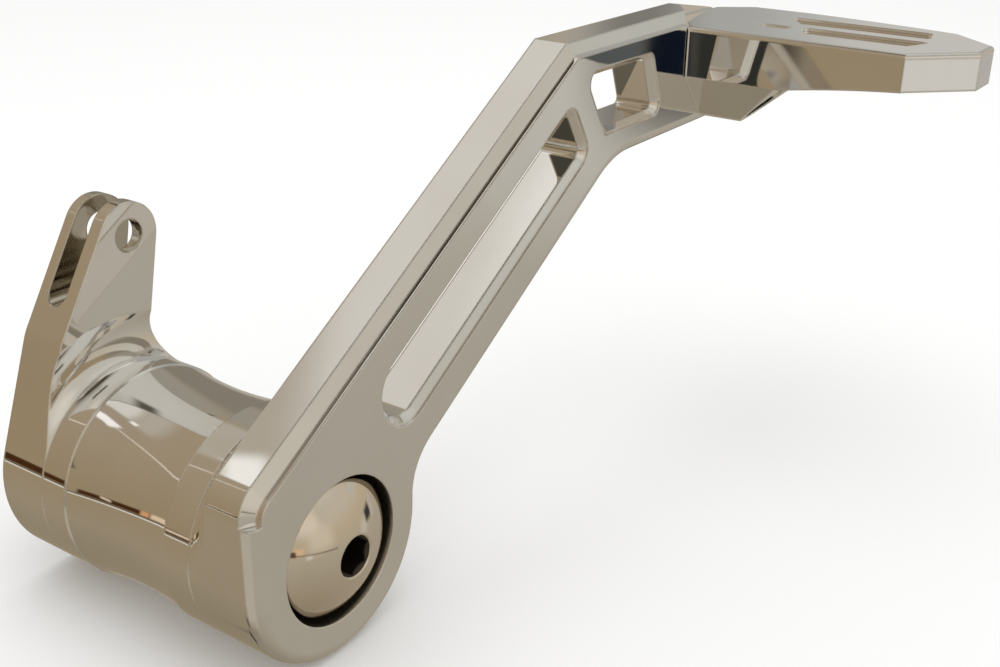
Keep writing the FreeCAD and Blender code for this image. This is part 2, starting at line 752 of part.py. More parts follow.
def make_pivot_bolt():
    body = new_body("pivot_bolt")
    shank, head = mm("bolt_radius"), mm("dome_radius")
    seat, rim = mm(HEAD_SEAT), mm(FACE + " - dome_rim_depth")
    apex = rim + mm("dome_height")
    tip = -mm("thread_length")
    nose = mm("fine_chamfer")
    ball = (head ** 2 + mm("dome_height") ** 2) / (2 * mm("dome_height"))
    mouth = mm("hex_across_flats") / math.sqrt(3) + mm("hex_lead_in")
    floor = DIMPLE_SHARE * mm("hex_across_flats / 2")
    edge = apex - ball + math.sqrt(ball ** 2 - mouth ** 2)
    half = (math.asin(head / ball) + math.asin(mouth / ball)) / 2
    crown = (ball * math.sin(half), -(apex - ball + ball * math.cos(half)))
    dimple = edge - (mouth - floor)
    relief, near, deep = mm("relief_radius"), mm("relief_start"), mm("relief_end")
    points = [(0, -tip), (shank - nose, -tip), (shank, -tip - nose), (shank, -near), (relief, -near),
              (relief, -deep), (shank, -deep), (shank, -seat), (head, -seat), (head, -rim)]
    sketch = new_sketch(body, "XY_Plane")
    edges = [segment(a, b) for a, b in zip(points, points[1:])]
    edges.append(arc((head, -rim), crown, (mouth, -edge)))
    edges.append(segment((mouth, -edge), (floor, -dimple)))
    edges.append(segment((floor, -dimple), (0, -dimple)))
    edges.append(segment((0, -dimple), (0, -tip)))
    add_path(sketch, edges)
    turn(body, sketch)
    sketch = new_sketch(body, "XZ_Plane", FACE + " - dome_rim_depth + dome_height")
    add_path(sketch, hexagon(0, 0, mm("hex_across_flats")))
    pocket(body, sketch, "hex_depth")
    return body


def hexagon(x, z, across_flats):
    """Six sides about a point, turned a little from the upright."""
    reach = across_flats / math.sqrt(3)
    corners = []
    for index in range(6):
        angle = math.radians(60 * index + mm("hex_turn"))
        corners.append((x + reach * math.sin(angle), z + reach * math.cos(angle), 0))
    return rounded(corners)


def make_pivot_pieces():
    """Sleeve, thrust washers, bushings and seals."""
    bolt_gap = mm("bolt_radius + sleeve_clearance")
    sleeve, washer = mm("sleeve_radius"), mm("washer_radius")
    inner_seat, sleeve_end, head_seat = mm("inboard_washer_thickness"), mm(SLEEVE_END), mm(HEAD_SEAT)
    turned("pivot_sleeve", [(bolt_gap, inner_seat), (sleeve, inner_seat),
                            (sleeve, sleeve_end), (bolt_gap, sleeve_end)])
    turned("inboard_thrust_washer", [(bolt_gap, 0), (washer, 0),
                                     (washer, inner_seat), (bolt_gap, inner_seat)])
    turned("outboard_thrust_washer", [(bolt_gap, sleeve_end), (washer, sleeve_end),
                                      (washer, head_seat), (bolt_gap, head_seat)])
    bore, shell = mm("sleeve_radius + running_clearance"), mm("bushing_radius")
    flange, thick, length = mm("flange_radius"), mm("flange_thickness"), mm("bushing_length")
    floor = mm(INNER_FLOOR)
    turned("inboard_bushing", [(bore, floor - thick), (flange, floor - thick), (flange, floor),
                               (shell, floor), (shell, floor + length), (bore, floor + length)])
    floor = mm(OUTER_FLOOR)
    turned("outboard_bushing", [(bore, floor + thick), (flange, floor + thick), (flange, floor),
                                (shell, floor), (shell, floor - length), (bore, floor - length)])
    seat = mm(INNER_FLOOR + " - flange_thickness")
    inside, outside = mm("washer_radius + seal_gap"), flange
    lip = seat - mm("seal_thickness")
    turned("inboard_dust_seal", [(inside, seat), (outside, seat), (outside, lip), (inside, lip)])
    ring = doc.addObject("Part::Torus", "outboard_seal_ring")
    ring.Label = "outboard_seal_ring"
    bind(ring, "Radius1", "dome_bore_radius - ring_radius")
    bind(ring, "Radius2", "ring_radius")
    centre = Vector(0, -mm(OUTER_FLOOR + " + ring_radius"), 0)
    ring.Placement = Placement(centre, Rotation(Vector(1, 0, 0), 90))
    doc.recompute()


# Foot pad with its lug
def pad_outline():
    """Pad seen from above, with X forward and Y inboard."""
    face = -mm(FACE)
    gap, run, depth = mm("pad_clearance"), mm("notch_run"), mm("notch_depth")
    rear = mm("shoulder_reach") + gap
    front = mm(PAD_FRONT)
    tip = face - mm("pad_length")
    corner, toe = mm("pad_corner_run"), mm("pad_toe_run")
    toe_length, taper = mm("pad_toe_length"), mm("pad_front_taper")
    fence = face + depth - gap
    inner = rear + run * (depth - gap) / depth
    toe_start = (front - taper - (toe - taper), tip)
    toe_end = (front - taper, tip + toe_length)
    straight = (front, face - mm("pad_front_straight"))
    nose = (front, face)
    cut = (front - mm("pad_nose_cut"), fence)
    points = [(inner, fence), (rear, face), (rear, tip + corner), (rear + corner, tip),
              toe_start, toe_end]
    edges = [segment(a, b) for a, b in zip(points, points[1:])]
    middle = ((toe_end[0] + straight[0]) / 2 + mm("pad_front_bow"), (toe_end[1] + straight[1]) / 2)
    edges.append(arc(toe_end, middle, straight))
    points = [straight, nose, cut, (inner, fence)]
    edges += [segment(a, b) for a, b in zip(points, points[1:])]
    return edges


def lug_outline():
    """Lug under the pad, seen from outboard: a round nose hung between two flanks."""
    gap = mm("pad_clearance")
    underside = mm(UNDERSIDE)
    centre = (mm(LUG_REACH), mm(LUG_HEIGHT))
    radius = mm("lug_radius")

    rear = (mm("shoulder_reach") + gap, underside)
    front = (mm(LUG_FRONT), underside)
    rear_touch = touch(rear, centre, radius, 1)
    front_touch = touch(front, centre, radius, -1)
    sink = mm("pad_low_chamfer")
    return [
        segment(rear, rear_touch),
        arc_about(centre, rear_touch, front_touch, (0, -1)),
        segment(front_touch, front),
        segment(front, (front[0], front[1] + sink)),
        segment((front[0], front[1] + sink), (rear[0], rear[1] + sink)),
        segment((rear[0], rear[1] + sink), rear),
    ]


def groove_outline(name):
    """Shallow groove with rounded corners, seen from above."""
    face = -mm(FACE)
    corner = mm("groove_corner")
    front, rear = mm(f"shoulder_reach + {name}_front"), mm(f"shoulder_reach + {name}_rear")
    return rounded([
        (front, face - mm(f"{name}_front_start"), corner),
        (rear, face - mm(f"{name}_rear_start"), corner),
        (rear, face - mm(f"{name}_rear_end"), corner),
        (front, face - mm(f"{name}_front_end"), corner),
    ])


def make_foot_pad():
    body = new_body("foot_pad")
    sketch = new_sketch(body, "XY_Plane", "pad_top_height")
    add_path(sketch, pad_outline())
    pad(body, sketch, "pad_thickness", reverse=True)
    cut_pad_underside(body)
    top = mm("pad_top_height")
    dress(body, "PartDesign::Fillet", lambda edge: at_height(edge, 2, top), "pad_top_round")
    sketch = new_sketch(body, "XZ_Plane", FACE)
    add_path(sketch, lug_outline())
    pad(body, sketch, "lug_tip_high")
    cut_lug_tip(body)
    for name in ("fore_groove", "aft_groove", "short_groove"):
        sketch = new_sketch(body, "XY_Plane", "pad_top_height")
        add_path(sketch, groove_outline(name))
        pocket(body, sketch, "groove_depth")
    place = (mm(LUG_REACH), mm(LUG_HEIGHT))
    sketch = new_sketch(body, "XZ_Plane", FACE + " + lug_tip_high")
    add_circle(sketch, *place, "pad_screw_radius + joint_clearance")
    pocket(body, sketch, "lug_tip_high")
    sketch = new_sketch(body, "XZ_Plane", FACE + " + lug_tip_high")
    add_circle(sketch, *place, "pad_screw_counterbore_radius")
    pocket(body, sketch, "lug_tip_high - pad_screw_seat")
    sketch = new_sketch(body, "XZ_Plane", FACE)
    add_circle(sketch, mm(DOWEL_REACH), mm(DOWEL_HEIGHT), "dowel_radius + joint_clearance")
    pocket(body, sketch, "pad_dowel_length / 2", reverse=True)
    return body


def cut_pad_underside(body):
    """Scallop that thins the pad towards its outboard tip, cut along X."""
    face = -mm(FACE)
    under = mm(UNDERSIDE)
    tip_under = mm("pad_top_height - pad_tip_thickness")
    start, end = face - mm("scallop_start"), face - mm("scallop_end")
    far = face - mm("pad_length") - mm("pad_thickness")
    low = under - mm("pad_thickness")
    middle = ((start + end) / 2, under + SCALLOP_RISE * (tip_under - under))
    sketch = new_sketch(body, "YZ_Plane", PAD_FRONT)
    add_path(sketch, [
        arc((start, under), middle, (end, tip_under)),
        segment((end, tip_under), (far, tip_under)),
        segment((far, tip_under), (far, low)),
        segment((far, low), (start, low)),
        segment((start, low), (start, under)),
    ])
    pocket(body, sketch, "pad_width")


def cut_lug_tip(body):
    """Slope at the lug's outboard end, from its nose up to the pad, cut along X."""
    face = -mm(FACE)
    under = mm(UNDERSIDE)
    nose = mm(LUG_HEIGHT + " - lug_radius")
    low, high = face - mm("lug_tip_low"), face - mm("lug_tip_high")
    spare = mm("lug_radius")
    lift = spare * (high - low) / (under - nose)
    sketch = new_sketch(body, "YZ_Plane", LUG_FRONT)
    add_path(sketch, rounded([
        (high, under, 0),
        (low - lift, nose - spare, 0),
        (high - spare, nose - spare, 0),
        (high - spare, under, 0),
    ]))
    pocket(body, sketch, "lug_front_run")


# Screws, washer and dowels
def make_socket_screw(label, place, seat, direction, sizes, hex_sizes):
    """Cap screw whose head rests on a seat station; direction 1 points the shank outboard."""
    x, z = place
    radius, head, height, length = sizes
    flats, depth = hex_sizes
    body = new_body(label)
    sketch = new_sketch(body, "XZ_Plane", seat)
    add_circle(sketch, x, z, radius)
    pad(body, sketch, length, reverse=direction < 0)
    sketch = new_sketch(body, "XZ_Plane", seat)
    add_circle(sketch, x, z, head)
    pad(body, sketch, height, reverse=direction > 0)
    outer = f"{seat} {'-' if direction > 0 else '+'} {height}"
    sketch = new_sketch(body, "XZ_Plane", outer)
    add_path(sketch, hexagon(x, z, mm(flats)))
    pocket(body, sketch, depth, reverse=direction > 0)
    end = -mm(outer)
    dress(body, "PartDesign::Chamfer", lambda edge: head_rim(edge, end, mm(head)), "fine_chamfer")
    return body


def head_rim(edge, level, radius):
    round_edge = hasattr(edge.Curve, "Radius") and abs(edge.Curve.Radius - radius) < 1e-4
    return round_edge and at_height(edge, 1, level)


def make_rod(label, place, station, radius, length):
    """Plain dowel from a station outboard, with chamfered ends."""
    body = new_body(label)
    sketch = new_sketch(body, "XZ_Plane", station)
    add_circle(sketch, *place, radius)
    pad(body, sketch, length)
    dress(body, "PartDesign::Chamfer", lambda edge: edge.Closed, "fine_chamfer")
    return body


def make_fasteners():
    sizes = ("screw_radius", "screw_head_radius", "screw_head_height",
             "lever_thickness - screw_head_sink + barrel_length + screw_engagement")
    for number, place in enumerate(screw_places(), start=1):
        make_socket_screw(f"assembly_screw_{number}", place, "seat_gap + screw_head_sink", 1,
                          sizes, ("screw_hex", "screw_hex_depth"))
    for number, place in enumerate(dowel_places(), start=1):
        make_rod(f"lever_dowel_{number}", place, LEVER_SEAM + " - dowel_length / 2", "dowel_radius",
                 "dowel_length")
        make_rod(f"arm_dowel_{number}", place, ARM_SEAM + " - dowel_length / 2", "dowel_radius",
                 "dowel_length")
    place = (mm(DOWEL_REACH), mm(DOWEL_HEIGHT))
    make_rod("pad_dowel", place, FACE + " - pad_dowel_length / 2", "dowel_radius", "pad_dowel_length")
    place = (mm(LUG_REACH), mm(LUG_HEIGHT))
    seat = FACE + " + pad_screw_seat + lock_washer_thickness"
    sizes = ("pad_screw_radius", "pad_screw_head_radius", "pad_screw_head_height",
             "lock_washer_thickness + pad_screw_seat + pad_screw_engagement")
    make_socket_screw("pad_screw", place, seat, -1, sizes, ("pad_screw_hex", "pad_screw_hex_depth"))
    make_lock_washer(place)


def make_lock_washer(place):
    body = new_body("pad_lock_washer")
    sketch = new_sketch(body, "XZ_Plane", FACE + " + pad_screw_seat")
    add_circle(sketch, *place, "lock_washer_radius")
    add_circle(sketch, *place, "pad_screw_radius + sleeve_clearance")
    pad(body, sketch, "lock_washer_thickness")
    return body


make_brake_arm()
make_pivot_barrel()
make_clevis_lever()
make_pivot_bolt()
make_pivot_pieces()
make_foot_pad()
make_fasteners()
doc.recompute()

# Every object is sound before anything is written
for item in doc.Objects:
    if "Invalid" in item.State or "Error" in item.State:
        raise RuntimeError(f"{item.Label} is {item.State}")

kinds = ("PartDesign::Body", "Part::Cut", "Part::Torus")
nodes = [item for item in doc.Objects if item.TypeId in kinds and item.Label != "arm_blank"]
for item in nodes:
    shape = item.Shape
    if shape.isNull() or not shape.isValid() or not shape.Solids:
        raise RuntimeError(f"{item.Label} has no valid solid")
    print(item.Label, len(shape.Solids), round(shape.Volume, 1))
    shape.exportStep(f"parts/{item.Label}.step")
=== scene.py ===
import bpy
from mathutils import Matrix, Vector


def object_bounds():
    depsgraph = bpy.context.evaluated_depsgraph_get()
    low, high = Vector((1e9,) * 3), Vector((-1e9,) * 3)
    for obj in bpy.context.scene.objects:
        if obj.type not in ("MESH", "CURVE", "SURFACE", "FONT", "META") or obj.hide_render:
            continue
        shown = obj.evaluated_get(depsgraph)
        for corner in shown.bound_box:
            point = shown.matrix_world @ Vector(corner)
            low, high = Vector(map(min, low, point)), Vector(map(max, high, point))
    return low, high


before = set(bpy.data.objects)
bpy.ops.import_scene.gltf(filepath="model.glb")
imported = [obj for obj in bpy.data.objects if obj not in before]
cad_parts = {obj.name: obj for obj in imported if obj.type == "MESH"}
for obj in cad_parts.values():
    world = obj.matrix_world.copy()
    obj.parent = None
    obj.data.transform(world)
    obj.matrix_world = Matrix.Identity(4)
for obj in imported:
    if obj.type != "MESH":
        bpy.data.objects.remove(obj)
cad_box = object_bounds()


# Small helpers

def colour(red, green, blue):
    """A colour as seen on screen, 0 to 255, turned into what a node takes."""
    def linear(value):
        value = value / 255.0
        if value <= 0.04045:
            return value / 12.92
        return ((value + 0.055) / 1.055) ** 2.4
    return (linear(red), linear(green), linear(blue), 1.0)


def add(tree, kind, **settings):
    node = tree.nodes.new(kind)
    for name, value in settings.items():
        setattr(node, name, value)
    return node


def link(tree, source, target):
    tree.links.new(source, target)


def maths(tree, operation, first, second=None, third=None):
    node = add(tree, "ShaderNodeMath", operation=operation)
    for place, value in enumerate((first, second, third)):
        if value is None:
            continue
        if isinstance(value, (int, float)):
            node.inputs[place].default_value = value
        else:
            link(tree, value, node.inputs[place])
    return node.outputs[0]


def spread(tree, value, low, high, new_low, new_high, smooth=False):
    """Map a value from one range to another, kept inside the new range."""
    node = add(tree, "ShaderNodeMapRange")
    if smooth:
        node.interpolation_type = "SMOOTHSTEP"
    link(tree, value, node.inputs["Value"])
    for name, number in (("From Min", low), ("From Max", high),
                         ("To Min", new_low), ("To Max", new_high)):
        if isinstance(number, (int, float)):
            node.inputs[name].default_value = number
        else:
            link(tree, number, node.inputs[name])
    return node.outputs["Result"]


def mix_colour(tree, amount, first, second):
    node = add(tree, "ShaderNodeMix", data_type="RGBA")
    for socket, value in ((node.inputs[0], amount), (node.inputs[6], first), (node.inputs[7], second)):
        if isinstance(value, (int, float, tuple)):
            socket.default_value = value
        else:
            link(tree, value, socket)
    return node.outputs[2]


def new_group(name, inputs, outputs):
    """An empty shader group with its sockets; returns the tree, its inlet and its outlet."""
    tree = bpy.data.node_groups.new(name, "ShaderNodeTree")
    for label, kind, value in inputs:
        socket = tree.interface.new_socket(name=label, in_out="INPUT", socket_type=kind)
        if value is not None:
            socket.default_value = value
    for label, kind in outputs:
        tree.interface.new_socket(name=label, in_out="OUTPUT", socket_type=kind)
    return tree, add(tree, "NodeGroupInput"), add(tree, "NodeGroupOutput")


def use_group(tree, group, **values):
    node = add(tree, "ShaderNodeGroup", node_tree=group)
    for name, value in values.items():
        socket = node.inputs[name.replace("_", " ").title()]
        if isinstance(value, (int, float, tuple)):
            socket.default_value = value
        else:
            link(tree, value, socket)
    return node


# The camera

CAMERA_PLACE = (-0.17354786, -0.24279802, 0.15504884)
CAMERA_RIGHT = (0.570781991787823, -0.8209652891837453, 0.014963682908129302)
CAMERA_UP = (0.3221117202680047, 0.24063919621113075, 0.9156073486559879)
CAMERA_BACK = (-0.755282700395495, -0.5177922085183512, 0.4017950612949061)
SENSOR_WIDTH = 36.0
LENS_LENGTH = 45.394
NEAREST_SEEN = 0.01
FARTHEST_SEEN = 50.0


def make_camera():
    lens = bpy.data.cameras.new("Camera")
    lens.sensor_fit = "HORIZONTAL"
    lens.sensor_width = SENSOR_WIDTH
    lens.lens = LENS_LENGTH
    lens.clip_start = NEAREST_SEEN
    lens.clip_end = FARTHEST_SEEN
    camera = bpy.data.objects.new("Camera", lens)
    turn = Matrix((CAMERA_RIGHT, CAMERA_UP, CAMERA_BACK)).transposed().to_4x4()
    camera.matrix_world = Matrix.Translation(Vector(CAMERA_PLACE)) @ turn
    bpy.context.collection.objects.link(camera)
    bpy.context.scene.camera = camera


# The room that the bright metal mirrors

# The two halves of the room, each plain paint from the floor up to a dark ceiling:
# elevation in degrees, colour.
WARM_WALL = (
    (-90.0, colour(145, 138, 127)),
    (-60.0, colour(136, 125, 105)),
    (-30.0, colour(152, 138, 115)),
    (-2.0, colour(149, 132, 104)),
    (36.0, colour(158, 142, 118)),
    (64.0, colour(158, 146, 129)),
    (74.0, colour(58, 49, 39)),
    (90.0, colour(112, 100, 83)),
)
GREY_WALL = (
    (-90.0, colour(140, 130, 112)),
    (-50.0, colour(158, 149, 133)),
    (-20.0, colour(168, 162, 149)),
    (4.0, colour(184, 172, 152)),
    (18.0, colour(188, 182, 170)),
    (56.0, colour(188, 184, 174)),
    (68.0, colour(150, 144, 132)),
    (76.0, colour(56, 50, 42)),
    (90.0, colour(112, 100, 83)),
)
# The middle of the grey half, and how far from it the change to the warm half starts and ends.
GREY_WALL_AZIMUTH = -65.0
GREY_WALL_REACH = 70.0
WARM_WALL_START = 125.0
HALF_TURN = 180.0

# Panels, windows, cards and edges in the room: azimuth and elevation of the
# middle, half the width and half the height, softness of the edge, rise of the
# panel per degree of azimuth, all in degrees; then its colour and how solid it is.
ROOM_PANELS = (
    # front of the bench, with a dark gap, which the arm's outboard face looks at
    (-34.0, -13.0, 6.0, 5.0, 4.0, 0.0, colour(190, 186, 177), 0.9),
    (-24.0, -9.5, 5.6, 4.4, 2.4, 0.0, colour(54, 56, 57), 1.0),
    (-14.0, -11.0, 4.0, 6.0, 2.0, 0.0, colour(178, 173, 167), 1.0),
    # light wall to the left of the bench, and the edge of the bench in front of it
    (-92.0, 4.0, 14.0, 12.0, 8.0, 0.0, colour(204, 196, 182), 0.8),
    (-106.0, -11.3, 3.4, 2.0, 1.2, 0.0, colour(206, 202, 194), 1.0),
    (-116.0, -3.0, 5.0, 4.0, 2.0, 0.0, colour(214, 184, 152), 0.9),
    (-122.0, -4.5, 2.2, 3.0, 0.8, 0.0, colour(58, 38, 26), 0.9),
    (-98.0, -9.3, 24.0, 0.5, 0.35, -0.14, colour(58, 42, 30), 0.9),
    (-103.0, 24.0, 14.0, 10.0, 7.0, 0.0, colour(216, 208, 196), 0.8),
    # side window, and a dark shelf beside it
    (-38.0, 50.0, 42.0, 15.0, 7.0, 0.0, colour(194, 191, 182), 1.0),
    (-89.0, 50.0, 12.0, 3.0, 2.0, 0.0, colour(66, 60, 47), 0.9),
    # light and dark boards that the shelf of the arm looks at
    (-27.0, 15.0, 7.0, 4.0, 2.5, 0.0, colour(184, 183, 174), 1.0),
    (-21.0, 27.0, 7.0, 5.0, 3.0, 0.0, colour(98, 99, 97), 0.8),
    # grey wall in front of the object, lighter low down, where the pad's top looks
    (10.0, 26.0, 21.0, 24.0, 3.0, 0.0, colour(166, 165, 160), 1.0),
    (13.0, 9.0, 8.0, 5.0, 3.5, 0.0, colour(197, 194, 188), 0.9),
    (12.0, 62.0, 22.0, 14.0, 5.0, 0.0, colour(214, 213, 206), 1.0),
    # darker wall beside it, with two dark edges
    (48.0, 4.0, 13.0, 20.0, 5.0, 0.0, colour(132, 124, 110), 1.0),
    (46.0, 36.0, 16.0, 12.0, 6.0, 0.0, colour(150, 144, 132), 1.0),
    (64.5, 34.5, 2.6, 1.5, 0.8, 1.5, colour(18, 14, 11), 1.0),
    (28.5, 20.0, 2.0, 18.0, 1.6, 0.0, colour(100, 96, 87), 0.7),
    # ceiling light on the inboard side, in three steps of brightness
    (84.0, 55.5, 22.0, 5.5, 2.0, 0.0, colour(208, 203, 194), 1.0),
    (86.0, 46.0, 22.0, 4.0, 3.0, 0.0, colour(176, 168, 154), 0.9),
    (86.0, 61.0, 22.0, 3.0, 1.8, 0.0, colour(232, 228, 220), 1.0),
    # bright gap between two curtains
    (121.0, 50.0, 3.4, 3.6, 1.0, 0.0, colour(246, 241, 236), 1.0),
    (118.3, 33.0, 3.2, 1.2, 0.6, 4.5, colour(240, 232, 220), 0.9),
    (106.6, 48.2, 1.6, 1.0, 0.5, 0.0, colour(240, 236, 229), 1.0),
    # boxes and cloths low down
    (14.0, -29.0, 6.0, 4.0, 2.0, 0.0, colour(108, 108, 100), 0.9),
    (136.0, -50.0, 7.0, 4.0, 2.0, 0.0, colour(88, 83, 72), 0.9),
    (52.0, -24.0, 12.0, 15.0, 5.0, 0.0, colour(180, 173, 161), 1.0),
    (-172.0, -40.0, 34.0, 14.0, 9.0, 0.0, colour(174, 165, 150), 1.0),
    # dark cupboard on the rear side
    (-149.5, -12.0, 2.6, 10.0, 0.8, 0.0, colour(84, 88, 88), 1.0),
    (-153.0, -12.0, 1.2, 10.0, 0.5, 0.0, colour(14, 20, 32), 1.0),
    (-156.4, -12.0, 2.4, 10.0, 0.4, 0.0, colour(46, 46, 42), 1.0),
    (-166.0, -12.0, 7.4, 8.0, 1.6, 0.0, colour(134, 120, 100), 1.0),
    # dark cupboards that the inner ends of the windows look at
    (108.0, -58.0, 10.0, 5.0, 2.0, 0.0, colour(66, 68, 62), 1.0),
    (150.2, 15.0, 3.0, 4.6, 0.4, 0.0, colour(66, 63, 55), 1.0),
    # far edge of the bench, with what stands along it
    (131.0, -6.2, 15.0, 1.7, 0.6, 0.0, colour(66, 40, 20), 1.0),
    (128.6, -6.0, 1.2, 1.6, 0.5, 0.0, colour(204, 150, 104), 1.0),
    (124.8, -6.0, 2.2, 1.6, 0.6, 0.0, colour(214, 190, 160), 1.0),
    (139.0, -5.6, 1.4, 0.7, 0.4, 0.3, colour(226, 205, 176), 0.9),
    (131.0, -8.7, 20.0, 0.35, 0.25, 0.0, colour(24, 20, 15), 0.9),
    (131.0, -9.6, 20.0, 0.35, 0.25, 0.0, colour(240, 235, 228), 0.9),
)

# What the camera sees of the room, and the plain light that falls on matt surfaces.
CAMERA_SEES = (1.0, 1.0, 1.0, 1.0)
SOFT_LIGHT = (0.92, 0.92, 0.92, 1.0)


def make_panel_group():
    tree, inlet, outlet = new_group("Room panel", (
        ("Azimuth", "NodeSocketFloat", 0.0),
        ("Elevation", "NodeSocketFloat", 0.0),
        ("Middle Azimuth", "NodeSocketFloat", 0.0),
        ("Middle Elevation", "NodeSocketFloat", 0.0),
        ("Half Width", "NodeSocketFloat", 10.0),
        ("Half Height", "NodeSocketFloat", 10.0),
        ("Softness", "NodeSocketFloat", 2.0),
        ("Rise", "NodeSocketFloat", 0.0),
        ("Solidity", "NodeSocketFloat", 1.0),
        ("Panel", "NodeSocketColor", None),
        ("Room", "NodeSocketColor", None),
    ), (("Room", "NodeSocketColor"),))
    across = maths(tree, "SUBTRACT", inlet.outputs["Azimuth"], inlet.outputs["Middle Azimuth"])
    across = maths(tree, "WRAP", across, HALF_TURN, -HALF_TURN)
    climb = maths(tree, "MULTIPLY", across, inlet.outputs["Rise"])
    above = maths(tree, "SUBTRACT", inlet.outputs["Elevation"], inlet.outputs["Middle Elevation"])
    above = maths(tree, "SUBTRACT", above, climb)
    cover = None
    for distance, half in ((across, "Half Width"), (above, "Half Height")):
        size = inlet.outputs[half]
        inner = maths(tree, "SUBTRACT", size, inlet.outputs["Softness"])
        outer = maths(tree, "ADD", size, inlet.outputs["Softness"])
        side = spread(tree, maths(tree, "ABSOLUTE", distance), inner, outer, 1.0, 0.0, smooth=True)
        cover = side if cover is None else maths(tree, "MULTIPLY", cover, side)
    cover = maths(tree, "MULTIPLY", cover, inlet.outputs["Solidity"])
    mixed = mix_colour(tree, cover, inlet.outputs["Room"], inlet.outputs["Panel"])
    link(tree, mixed, outlet.inputs["Room"])
    return tree


def wall(tree, elevation, heights):
    """One half of the room, as a ramp of colours from the floor to the ceiling."""
    node = add(tree, "ShaderNodeValToRGB")
    ramp = node.color_ramp
    lowest, highest = heights[0][0], heights[-1][0]
    while len(ramp.elements) < len(heights):
        ramp.elements.new(0.5)
    for stop, (height, shade) in zip(ramp.elements, heights):
        stop.position = (height - lowest) / (highest - lowest)
        stop.color = shade
    link(tree, spread(tree, elevation, lowest, highest, 0.0, 1.0), node.inputs["Fac"])
    return node.outputs["Color"]


def make_room():
    """The world: white for the camera, plain soft light on matt surfaces, the room in the metal."""
    world = bpy.data.worlds.new("Room")
    world.use_nodes = True
    tree = world.node_tree
    tree.nodes.clear()
    towards = add(tree, "ShaderNodeTexCoord").outputs["Generated"]
    parts = add(tree, "ShaderNodeSeparateXYZ")
    link(tree, towards, parts.inputs[0])
    azimuth = maths(tree, "DEGREES", maths(tree, "ARCTAN2", parts.outputs["Y"], parts.outputs["X"]))
    elevation = maths(tree, "DEGREES", maths(tree, "ARCSINE", parts.outputs["Z"]))
    from_grey = maths(tree, "SUBTRACT", azimuth, GREY_WALL_AZIMUTH)
    from_grey = maths(tree, "ABSOLUTE", maths(tree, "WRAP", from_grey, HALF_TURN, -HALF_TURN))
    side = spread(tree, from_grey, GREY_WALL_REACH, WARM_WALL_START, 0.0, 1.0, smooth=True)
    room = mix_colour(tree, side, wall(tree, elevation, GREY_WALL), wall(tree, elevation, WARM_WALL))
    panel_group = make_panel_group()
    for middle, height, width, tall, soft, rise, shade, solid in ROOM_PANELS:
        panel = use_group(tree, panel_group, azimuth=azimuth, elevation=elevation,
                          middle_azimuth=middle, middle_elevation=height, half_width=width,
                          half_height=tall, softness=soft, rise=rise, solidity=solid,
                          panel=shade, room=room)
        room = panel.outputs["Room"]
    path = add(tree, "ShaderNodeLightPath")
    seen = mix_colour(tree, path.outputs["Is Diffuse Ray"], room, SOFT_LIGHT)
    seen = mix_colour(tree, path.outputs["Is Camera Ray"], seen, CAMERA_SEES)
    background = add(tree, "ShaderNodeBackground")
    link(tree, seen, background.inputs["Color"])
    output = add(tree, "ShaderNodeOutputWorld")
    link(tree, background.outputs["Background"], output.inputs["Surface"])
    bpy.context.scene.world = world


LAMP_WIDTH = 1.2
LAMP_POWER = 3.0
LAMP_PLACE = (0.1, -0.1, 1.2)


def make_lamp():
    """One wide soft lamp above, which only lights the matt surfaces and the floor."""
    light = bpy.data.lights.new("Soft lamp", "AREA")
    light.shape = "DISK"
    light.size = LAMP_WIDTH
    light.energy = LAMP_POWER
    lamp = bpy.data.objects.new("Soft lamp", light)
    lamp.location = LAMP_PLACE
    lamp.visible_glossy = False
    bpy.context.collection.objects.link(lamp)


FLOOR_GAP = 0.0001
FLOOR_HEIGHT = cad_box[0][2] - FLOOR_GAP
FLOOR_RADIUS = 6.0
FLOOR_SIDES = 96
# The floor's colour to the camera, and as it lights the object from below.
FLOOR_WHITE = (0.97, 0.97, 0.97, 1.0)
FLOOR_WARM = colour(158, 144, 124)


def make_floor():
    bpy.ops.object.select_all(action="DESELECT")
    bpy.ops.mesh.primitive_circle_add(vertices=FLOOR_SIDES, radius=FLOOR_RADIUS, fill_type="NGON",
                                      location=(0.0, 0.0, FLOOR_HEIGHT))
    floor = bpy.context.object
    floor.name = "Floor"
    material = bpy.data.materials.new("Pale bench")
    material.use_nodes = True
    tree = material.node_tree
    surface = tree.nodes["Principled BSDF"]
    surface.inputs["Roughness"].default_value = 1.0
    surface.inputs["Specular IOR Level"].default_value = 0.0
    path = add(tree, "ShaderNodeLightPath")
    shade = mix_colour(tree, path.outputs["Is Camera Ray"], FLOOR_WARM, FLOOR_WHITE)
    link(tree, shade, surface.inputs["Base Color"])
    floor.data.materials.append(material)
    floor.visible_glossy = False


# Finishes

# Radius of the broken edges.
EDGE_BREAK = 0.0007
EDGE_SAMPLES = 6

# Each metal's tint where it is clear and where it is hazy.
CHROME_TINTS = ((0.96, 0.955, 0.945, 1.0), (0.92, 0.91, 0.895, 1.0))
WARM_CHROME_TINTS = ((0.93, 0.86, 0.76, 1.0), (0.89, 0.81, 0.70, 1.0))
STEEL_TINTS = ((0.62, 0.61, 0.59, 1.0), (0.50, 0.49, 0.47, 1.0))
BRONZE_TINTS = (colour(196, 152, 96), colour(150, 108, 64))
OILED_STEEL_TINTS = (colour(70, 70, 72), colour(46, 46, 48))
RUBBER_TINTS = (colour(28, 28, 29), colour(46, 45, 44))

